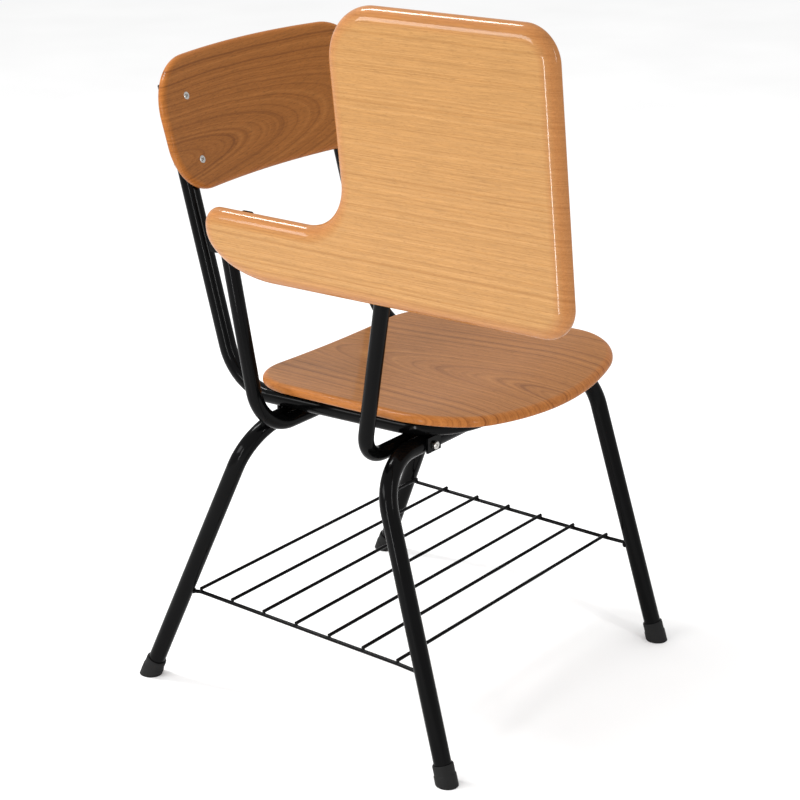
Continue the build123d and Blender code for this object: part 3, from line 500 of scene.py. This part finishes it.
def seat_outline():
    """The front is one arc; a corner arc turns it into each side, and the rear has two corners."""
    size = (SEAT_FRONT_HALF**2 + SEAT_FRONT_BOW**2) / (2 * SEAT_FRONT_BOW)
    centre = Vector((0, SEAT_FRONT_Y + size))
    front_end = Vector((SEAT_FRONT_HALF, SEAT_FRONT_Y + SEAT_FRONT_BOW))
    side = (Vector((SEAT_REAR_HALF, SEAT_REAR_Y)) - front_end).normalized()
    normal = Vector((-side.y, side.x))          # towards the middle, on the +x side
    # The corner arc's centre lies one corner radius inside both the side and the front arc.
    d = front_end + normal * SEAT_FRONT_CORNER - centre
    reach = -d.dot(side) - (d.dot(side) ** 2 - d.length_squared + (size - SEAT_FRONT_CORNER) ** 2) ** 0.5
    corner = centre + d + side * reach
    start = (corner - centre).normalized()
    touch = corner + start * SEAT_FRONT_CORNER
    sweep = start.angle(-normal)
    right = [corner + SEAT_FRONT_CORNER * turned(start, sweep * k / 36) for k in range(37)]
    rear_corner = (SEAT_REAR_HALF, SEAT_REAR_Y, SEAT_REAR_CORNER)
    right += rounded([(*right[-1], 0.0), rear_corner, (0.0, SEAT_REAR_Y, 0.0)])[1:-1]
    edge = (touch - centre).angle(Vector((0, -1)))
    front = [centre + size * turned(Vector((0, -1)), edge * k / 25) for k in range(25)]
    half = front + right
    return half + [Vector((-p.x, p.y)) for p in reversed(half[1:])]


seat = link(
    "seat_wood",
    slab(
        spaced(seat_outline()), rim_profile(8.0, 6.5, 5.0, 4.5, SEAT_THICK), seat_shape,
        lambda x, y: seat_shape(x, y) + SEAT_THICK, seat_place, inner_rings(26),
    ),
    SEAT_WOOD,
    "chair",
)
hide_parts("seat_panel")

# ---------------------------------------------------------------- backrest
lean = radians(BACK_LEAN)


def back_place(x, h, d):
    """h up the leaning panel, d forward of its reference plane."""
    return C(x, BACK_Y + h * sin(lean) - d * cos(lean), BACK_Z + h * cos(lean) + d * sin(lean))


def back_shape(x, h):
    """The curved panel's rear face, in front of its reference plane."""
    return sagitta(BACK_CURVE_R, x) - BACK_THICK / 2


def crowned(x_half, y_end, crown, pieces):
    """A long edge from (-x_half, y_end) to (x_half, y_end) whose middle lies crown higher."""
    size = (x_half**2 + crown**2) / (2 * crown)
    out = []
    for k in range(pieces + 1):
        x = -x_half + 2 * x_half * k / pieces
        out.append(Vector((x, y_end + (size**2 - x**2) ** 0.5 - (size - crown))))
    return out


def back_outline():
    """Two crowned edges joined by straight ends, with four rounded corners."""
    pieces = 40
    low = crowned(BACK_HALF, BACK_LOW, BACK_LOW_CROWN, pieces)
    top = crowned(BACK_HALF, BACK_HIGH, BACK_TOP_CROWN, pieces)
    corners = (
        (top[0], BACK_TOP_CORNER), (top[-1], BACK_TOP_CORNER),
        (low[-1], BACK_LOW_CORNER), (low[0], BACK_LOW_CORNER),
    )
    out = low + top[::-1]
    for corner, radius in corners:
        index = min(range(len(out)), key=lambda i: (out[i] - corner).length)
        out = corner_arc(out, index, radius)
    return out


def corner_arc(points, index, radius):
    """Turns one corner with a true arc that touches the outline on both sides."""
    count = len(points)
    corner = points[index]

    def walk(direction, left):
        i = index
        while True:
            a, b = points[i], points[(i + direction) % count]
            run = (b - a).length
            if run >= left:
                return a.lerp(b, left / run), (b - a).normalized(), (i + direction) % count
            left -= run
            i = (i + direction) % count

    # The runs are bowed, so the reach along them settles in a few turns.
    reach = radius
    for _ in range(6):
        one, way_one, first = walk(-1, reach)
        two, way_two, last = walk(1, reach)
        half = way_one.angle(way_two) / 2
        reach = radius / tan(half)
    crossing = meet(one, way_one, two, way_two)
    ends = ((*(one + way_one), 0.0), (*crossing, radius), (*(two + way_two), 0.0))
    arc_points = rounded(ends)[1:-1]
    kept = []
    i = last
    while True:
        kept.append(points[i])
        if i == first:
            break
        i = (i + 1) % count
    return arc_points + kept


def meet(one, way_one, two, way_two):
    """Where two lines cross."""
    cross = way_one.x * way_two.y - way_one.y * way_two.x
    gap = two - one
    t = (gap.x * way_two.y - gap.y * way_two.x) / cross
    return one + way_one * t


back = link(
    "backrest_wood",
    slab(
        spaced(back_outline(), 6.0), rim_profile(7.0, 6.0, 5.0, 5.0, BACK_THICK), back_shape,
        lambda x, h: back_shape(x, h) + BACK_THICK, back_place, inner_rings(20),
    ),
    BACK_WOOD,
    "chair",
)
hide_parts("backrest_panel")

# ---------------------------------------------------------------- rubber feet


def lathe(bm, origin, axis, profile, count=48):
    """Adds a turned shape: profile lists (radius, distance along the axis)."""
    axis = axis.normalized()
    side = axis.orthogonal().normalized()
    other = axis.cross(side)
    loops = []
    for radius, z in profile:
        loop = []
        for k in range(count):
            a = 2 * pi * k / count
            spot = side * cos(a) * radius + other * sin(a) * radius + axis * z
            loop.append(bm.verts.new(origin + spot / MM))
        loops.append(loop)
    for one, two in zip(loops, loops[1:]):
        for i in range(count):
            j = (i + 1) % count
            bm.faces.new((one[i], one[j], two[j], two[i]))
    bm.faces.new(loops[0][::-1])
    bm.faces.new(loops[-1])


def front_leg(side, z):
    """A point of a front leg's axis; side is -1 on the tablet's side."""
    return C(side * (FRONT_FOOT_X - FRONT_LEG_IN * z), FRONT_FOOT_Y + FRONT_LEG_BACK * z, z)


def rear_leg(side, z):
    return C(side * (REAR_FOOT_X - REAR_LEG_IN * z), REAR_FOOT_Y - REAR_LEG_FORWARD * z, z)


# Radius and place along the leg: a lip at the sole, a slightly tapered sleeve, a rounded mouth.
# It starts below the floor, which cuts the sole level.
FOOT = (
    (11.3, -14.0), (14.0, -14.0), (14.0, 11.6), (13.85, 12.4), (13.3, 13.0), (13.15, 13.6),
    (13.2, 23.4), (13.1, 24.9), (12.5, 25.8), (11.6, 26.0), (11.02, 25.6), (11.02, 12.0),
)
for leg, end_name in ((front_leg, "front"), (rear_leg, "rear")):
    for side, side_name in ((-1, "right"), (1, "left")):
        bm = bmesh.new()
        base = leg(side, 0)
        lathe(bm, base, leg(side, 100) - base, FOOT, 56)
        cut = bmesh.ops.bisect_plane(
            bm, geom=bm.verts[:] + bm.edges[:] + bm.faces[:],
            plane_co=(0, 0, 0), plane_no=(0, 0, -1), clear_outer=True,
        )
        rim_edges = [e for e in cut["geom_cut"] if isinstance(e, bmesh.types.BMEdge)]
        bmesh.ops.holes_fill(bm, edges=rim_edges)
        foot = link(f"rubber_foot_{end_name}_{side_name}", bm, RUBBER, "chair")
        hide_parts(f"foot_{end_name}_{side_name}")

# ---------------------------------------------------------------- screw heads with a cross recess


def head(bm, origin, axis, radius, height):
    """A low domed screw head with a cross-shaped drive sunk in its top."""
    axis = axis.normalized()
    side = axis.orthogonal().normalized()
    other = axis.cross(side)
    arm, half = radius * 0.56, radius * 0.13
    cross = []
    for quarter in range(4):
        a = quarter * pi / 2
        for x, y in ((arm, -half), (arm, half), (half, half)):
            cross.append((x * cos(a) - y * sin(a), x * sin(a) + y * cos(a)))

    def vert(x, y, z):
        return bm.verts.new(origin + (side * x + other * y + axis * z) / MM)

    top = [vert(x, y, height) for x, y in cross]
    floor = [vert(x * 0.55, y * 0.55, height * 0.15) for x, y in cross]
    count = 4 * len(cross)
    rings = []
    for share, z in ((0.72, 0.97), (0.88, 0.82), (0.97, 0.5), (1.0, 0.0)):
        ring = []
        for k in range(count):
            a = 2 * pi * (k + 0.5) / count - pi / 8
            ring.append(vert(radius * share * cos(a), radius * share * sin(a), height * z))
        rings.append(ring)
    for i in range(len(cross)):
        j = (i + 1) % len(cross)
        bm.faces.new((top[i], top[j], floor[j], floor[i]))
    bm.faces.new(floor)
    bmesh.ops.bridge_loops(bm, edges=ring_edges(bm, top) + ring_edges(bm, rings[0]))
    for one, two in zip(rings, rings[1:]):
        for i in range(count):
            j = (i + 1) % count
            bm.faces.new((one[i], one[j], two[j], two[i]))
    bm.faces.new(rings[-1])


def ring_edges(bm, loop):
    """The edges of a closed loop, made where they are missing."""
    edges = []
    for i, a in enumerate(loop):
        b = loop[(i + 1) % len(loop)]
        edges.append(bm.edges.get((a, b)) or bm.edges.new((a, b)))
    return edges


def heads(name, spots, axis, radius, height, body):
    """One piece holding a screw head at each spot."""
    bm = bmesh.new()
    for spot in spots:
        head(bm, spot, axis, radius, height)
    link(name, bm, ZINC, body)


BIG_HEAD_R, LEAF_HEAD_R = 4.9, 3.9
FACE_SINK = 0.15              # how far the backrest's heads are let into the wood

face = sagitta(BACK_CURVE_R, FRAME_X) + BACK_THICK / 2 - FACE_SINK
heads(
    "backrest_screw_heads",
    [back_place(side * FRAME_X, h, face) for side in (-1, 1) for h in BACK_SCREW_HEIGHTS],
    Vector((0, -cos(lean), sin(lean))), BIG_HEAD_R, 1.1, "chair",
)
stand = TUBE_R + GUSSET_THICK + GUSSET_HEAD_H
for end_name, way, y, z in (
    ("front", -1, bar_front_y, FRONT_BAR_Z),
    ("rear", 1, bar_rear_y, REAR_BAR_Z),
):
    heads(
        f"{end_name}_gusset_screw_heads",
        [C(side * GUSSET_X, y + way * stand, z) for side in (-1, 1)],
        Vector((0, way, 0)), BIG_HEAD_R, 0.9, "chair",
    )
# The front leaf's lowest screw stays plain: the rest bracket comes close under it.
leaf_spots = (
    (FRONT_LEAF_X, 110.0), (FRONT_LEAF_X, 178.0),
    (REAR_LEAF_XS[0], 14.0), (REAR_LEAF_XS[0], 44.0), (REAR_LEAF_XS[1], 14.0),
)
heads(
    "leaf_screw_heads",
    [board(u, v, LEAF_OFFSET - LEAF_HEAD_H) for u, v in leaf_spots],
    -W, LEAF_HEAD_R, 0.8, "tablet_board",
)

# ---------------------------------------------------------------- welds


def bead(bm, origin, axis, length, radius):
    """A small rounded weld, longer along its axis."""
    steps = 8
    angles = [pi * k / steps for k in range(1, steps)]
    lathe(bm, origin, axis, [(radius * sin(a), -length * cos(a)) for a in angles], 14)


WIRE_BEAD_RISE = 1.2          # above the side wires' axis
LEG_BEAD_OUT = 11.5           # from the leg's axis, towards the side wire's end

welds = bmesh.new()
for number in range(RACK_WIRES):
    y = RACK_REAR_Y - number * RACK_PITCH
    reach = RACK_REAR_X + (RACK_FRONT_X - RACK_REAR_X) * number / (RACK_WIRES - 1)
    for side in (-1, 1):
        bead(welds, C(side * reach, y, RACK_Z + WIRE_BEAD_RISE), Vector((0, 1, 0)), 3.4, 2.3)
for leg, end_y in ((front_leg, -1), (rear_leg, 1)):
    for side in (-1, 1):
        inward = Vector((-side * 0.55, -end_y * 0.84, 0)).normalized()
        spot = leg(side, RACK_Z) + inward * LEG_BEAD_OUT / MM
        bead(welds, spot, Vector((0, 0, 1)), 4.6, 3.2)
link("rack_welds", welds, PAINT, "chair")

# ---------------------------------------------------------------- finishes on the carried-over nodes
for name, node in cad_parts.items():
    if node.hide_render:
        continue
    if "pad" in name:
        finish = RUBBER
    elif "plug" in name or "spacers" in name:
        finish = PLASTIC
    elif "screws" in name or "nuts" in name or "bolts" in name:
        finish = ZINC
    else:
        finish = PAINT
    node.data.materials.clear()
    node.data.materials.append(finish)

# ---------------------------------------------------------------- floor, light and camera
FLOOR_HALF = 14.0
FLOOR_SINK = 0.0005           # keeps the floor clear of the soles

floor = Nodes("studio_floor")
speck = floor.noise(floor.mapping(floor.coords, scale=(3, 3, 3)), 2.0, 0.5)
tint = floor.ramp(speck, (0.3, (0.9, 0.9, 0.9)), (0.7, (0.93, 0.93, 0.93)))
floor.link(tint, floor.shader.inputs["Base Color"])
floor.set(Roughness=0.9, Specular_IOR_Level=0.0)
bm = bmesh.new()
bmesh.ops.create_grid(bm, x_segments=2, y_segments=2, size=FLOOR_HALF)
mesh = bpy.data.meshes.new("studio_floor")
bm.to_mesh(mesh)
bm.free()
ground = bpy.data.objects.new("studio_floor", mesh)
bpy.context.scene.collection.objects.link(ground)
mesh.materials.append(floor.mat)
ground.location.z = -FLOOR_SINK

world = bpy.data.worlds.new("studio")
bpy.context.scene.world = world
world.use_nodes = True
world.node_tree.nodes["Background"].inputs[0].default_value = (1.0, 1.0, 1.0, 1)
world.node_tree.nodes["Background"].inputs[1].default_value = 1.0


def softbox(name, place, target, width, height, power):
    """A rectangular lamp at place, facing target, in metres and watts."""
    light = bpy.data.lights.new(name, "AREA")
    light.shape = "RECTANGLE"
    light.size, light.size_y, light.energy = width, height, power
    obj = bpy.data.objects.new(name, light)
    bpy.context.scene.collection.objects.link(obj)
    obj.location = place
    obj.rotation_euler = (Vector(target) - Vector(place)).to_track_quat("-Z", "Y").to_euler()


# Overhead for the seat's near edge, from the left for the tablet's top edge, from the front for the
# tubes, and a low strip whose reflection runs down the tablet's front edge.
softbox("light_top", (-0.5, 1.4, 2.5), (-0.2, 0, 0.5), 0.4, 0.9, 45)
softbox("light_left", (-1.95, 1.0, 1.15), (-0.2, -0.2, 0.85), 1.3, 0.5, 20)
softbox("light_front", (-0.4, -2.6, 1.5), (0, 0, 0.5), 0.14, 1.4, 16)
softbox("light_low", (-1.37, -0.17, 0.42), (-0.27, -0.25, 0.82), 0.07, 0.7, 5)

CAMERA_AT = (-2062.62, -1571.17, 1343.53)
CAMERA_DOWN, CAMERA_TURN = 20.701, -52.406      # degrees below level, and about the upright

camera_data = bpy.data.cameras.new("camera")
camera = bpy.data.objects.new("camera", camera_data)
bpy.context.scene.collection.objects.link(camera)
camera.location = C(*CAMERA_AT)
camera.rotation_euler = (pi / 2 - radians(CAMERA_DOWN), 0, radians(CAMERA_TURN))
camera_data.lens = 97.40
camera_data.sensor_width = 36.0
camera_data.clip_end = 50.0
bpy.context.scene.camera = camera
bpy.context.scene.view_settings.view_transform = "Standard"
bpy.context.scene.view_settings.look = "None"
